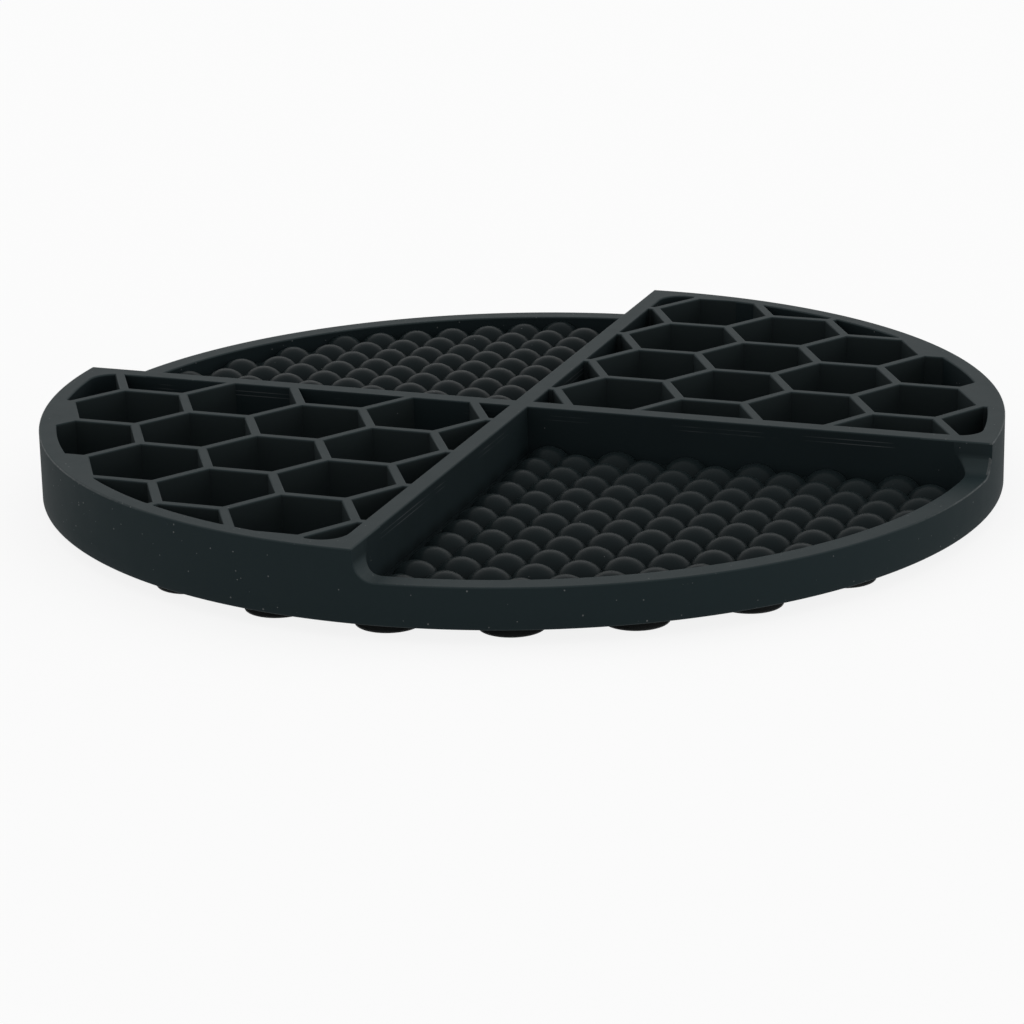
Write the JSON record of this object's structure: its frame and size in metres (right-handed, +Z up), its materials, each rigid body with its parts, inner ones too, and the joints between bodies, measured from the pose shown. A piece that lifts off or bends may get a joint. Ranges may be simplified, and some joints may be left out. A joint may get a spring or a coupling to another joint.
{
  "type": "lick mat",
  "caption": "Round silicone lick mat with honeycomb and bump quarters between crossed dividers, a stepped rim and a ring of suction cups underneath.",
  "frame": {"origin": "centre of the round mat, on the surface that the suction cups' lips stand on", "axes": "+Z up out of the mat, +X along one divider and +Y along the other"},
  "size_m": [0.2, 0.2, 0.0175],
  "materials": {
    "mat_silicone": "matte charcoal silicone with a fine moulded grain",
    "cup_silicone": "smooth dark silicone"
  },
  "bodies": {
    "mat": {"base_disc": "mat_silicone", "cross_divider": "mat_silicone", "tall_rim_back_right": "mat_silicone", "tall_rim_front_left": "mat_silicone", "low_rim_front_right": "mat_silicone", "low_rim_back_left": "mat_silicone", "honeycomb_back_right": "mat_silicone", "honeycomb_front_left": "mat_silicone", "bump_pad_front_right": "mat_silicone", "bump_pad_back_left": "mat_silicone"},
    "cup_01": {"suction_cup_01": "cup_silicone"},
    "cup_02": {"suction_cup_02": "cup_silicone"},
    "cup_03": {"suction_cup_03": "cup_silicone"},
    "cup_04": {"suction_cup_04": "cup_silicone"},
    "cup_05": {"suction_cup_05": "cup_silicone"},
    "cup_06": {"suction_cup_06": "cup_silicone"},
    "cup_07": {"suction_cup_07": "cup_silicone"},
    "cup_08": {"suction_cup_08": "cup_silicone"},
    "cup_09": {"suction_cup_09": "cup_silicone"},
    "cup_10": {"suction_cup_10": "cup_silicone"},
    "cup_11": {"suction_cup_11": "cup_silicone"},
    "cup_12": {"suction_cup_12": "cup_silicone"},
    "cup_13": {"suction_cup_13": "cup_silicone"},
    "cup_14": {"suction_cup_14": "cup_silicone"},
    "cup_15": {"suction_cup_15": "cup_silicone"},
    "cup_16": {"suction_cup_16": "cup_silicone"},
    "cup_17": {"suction_cup_17": "cup_silicone"},
    "cup_18": {"suction_cup_18": "cup_silicone"},
    "cup_19": {"suction_cup_19": "cup_silicone"},
    "cup_20": {"suction_cup_20": "cup_silicone"},
    "cup_21": {"suction_cup_21": "cup_silicone"},
    "cup_22": {"suction_cup_22": "cup_silicone"},
    "cup_23": {"suction_cup_23": "cup_silicone"},
    "cup_24": {"suction_cup_24": "cup_silicone"}
  },
  "joints": [
    {"name": "cup_01_press", "type": "slide", "parent": "mat", "child": "cup_01", "axis": [0, 0, 1], "range_m": [0, 0.0017], "stiffness_N_per_m": 800, "deforming": ["suction_cup_01"]},
    {"name": "cup_02_press", "type": "slide", "parent": "mat", "child": "cup_02", "axis": [0, 0, 1], "range_m": [0, 0.0017], "stiffness_N_per_m": 800, "deforming": ["suction_cup_02"]},
    {"name": "cup_03_press", "type": "slide", "parent": "mat", "child": "cup_03", "axis": [0, 0, 1], "range_m": [0, 0.0017], "stiffness_N_per_m": 800, "deforming": ["suction_cup_03"]},
    {"name": "cup_04_press", "type": "slide", "parent": "mat", "child": "cup_04", "axis": [0, 0, 1], "range_m": [0, 0.0017], "stiffness_N_per_m": 800, "deforming": ["suction_cup_04"]},
    {"name": "cup_05_press", "type": "slide", "parent": "mat", "child": "cup_05", "axis": [0, 0, 1], "range_m": [0, 0.0017], "stiffness_N_per_m": 800, "deforming": ["suction_cup_05"]},
    {"name": "cup_06_press", "type": "slide", "parent": "mat", "child": "cup_06", "axis": [0, 0, 1], "range_m": [0, 0.0017], "stiffness_N_per_m": 800, "deforming": ["suction_cup_06"]},
    {"name": "cup_07_press", "type": "slide", "parent": "mat", "child": "cup_07", "axis": [0, 0, 1], "range_m": [0, 0.0017], "stiffness_N_per_m": 800, "deforming": ["suction_cup_07"]},
    {"name": "cup_08_press", "type": "slide", "parent": "mat", "child": "cup_08", "axis": [0, 0, 1], "range_m": [0, 0.0017], "stiffness_N_per_m": 800, "deforming": ["suction_cup_08"]},
    {"name": "cup_09_press", "type": "slide", "parent": "mat", "child": "cup_09", "axis": [0, 0, 1], "range_m": [0, 0.0017], "stiffness_N_per_m": 800, "deforming": ["suction_cup_09"]},
    {"name": "cup_10_press", "type": "slide", "parent": "mat", "child": "cup_10", "axis": [0, 0, 1], "range_m": [0, 0.0017], "stiffness_N_per_m": 800, "deforming": ["suction_cup_10"]},
    {"name": "cup_11_press", "type": "slide", "parent": "mat", "child": "cup_11", "axis": [0, 0, 1], "range_m": [0, 0.0017], "stiffness_N_per_m": 800, "deforming": ["suction_cup_11"]},
    {"name": "cup_12_press", "type": "slide", "parent": "mat", "child": "cup_12", "axis": [0, 0, 1], "range_m": [0, 0.0017], "stiffness_N_per_m": 800, "deforming": ["suction_cup_12"]},
    {"name": "cup_13_press", "type": "slide", "parent": "mat", "child": "cup_13", "axis": [0, 0, 1], "range_m": [0, 0.0017], "stiffness_N_per_m": 800, "deforming": ["suction_cup_13"]},
    {"name": "cup_14_press", "type": "slide", "parent": "mat", "child": "cup_14", "axis": [0, 0, 1], "range_m": [0, 0.0017], "stiffness_N_per_m": 800, "deforming": ["suction_cup_14"]},
    {"name": "cup_15_press", "type": "slide", "parent": "mat", "child": "cup_15", "axis": [0, 0, 1], "range_m": [0, 0.0017], "stiffness_N_per_m": 800, "deforming": ["suction_cup_15"]},
    {"name": "cup_16_press", "type": "slide", "parent": "mat", "child": "cup_16", "axis": [0, 0, 1], "range_m": [0, 0.0017], "stiffness_N_per_m": 800, "deforming": ["suction_cup_16"]},
    {"name": "cup_17_press", "type": "slide", "parent": "mat", "child": "cup_17", "axis": [0, 0, 1], "range_m": [0, 0.0017], "stiffness_N_per_m": 800, "deforming": ["suction_cup_17"]},
    {"name": "cup_18_press", "type": "slide", "parent": "mat", "child": "cup_18", "axis": [0, 0, 1], "range_m": [0, 0.0017], "stiffness_N_per_m": 800, "deforming": ["suction_cup_18"]},
    {"name": "cup_19_press", "type": "slide", "parent": "mat", "child": "cup_19", "axis": [0, 0, 1], "range_m": [0, 0.0017], "stiffness_N_per_m": 800, "deforming": ["suction_cup_19"]},
    {"name": "cup_20_press", "type": "slide", "parent": "mat", "child": "cup_20", "axis": [0, 0, 1], "range_m": [0, 0.0017], "stiffness_N_per_m": 800, "deforming": ["suction_cup_20"]},
    {"name": "cup_21_press", "type": "slide", "parent": "mat", "child": "cup_21", "axis": [0, 0, 1], "range_m": [0, 0.0017], "stiffness_N_per_m": 800, "deforming": ["suction_cup_21"]},
    {"name": "cup_22_press", "type": "slide", "parent": "mat", "child": "cup_22", "axis": [0, 0, 1], "range_m": [0, 0.0017], "stiffness_N_per_m": 800, "deforming": ["suction_cup_22"]},
    {"name": "cup_23_press", "type": "slide", "parent": "mat", "child": "cup_23", "axis": [0, 0, 1], "range_m": [0, 0.0017], "stiffness_N_per_m": 800, "deforming": ["suction_cup_23"]},
    {"name": "cup_24_press", "type": "slide", "parent": "mat", "child": "cup_24", "axis": [0, 0, 1], "range_m": [0, 0.0017], "stiffness_N_per_m": 800, "deforming": ["suction_cup_24"]}
  ]
}
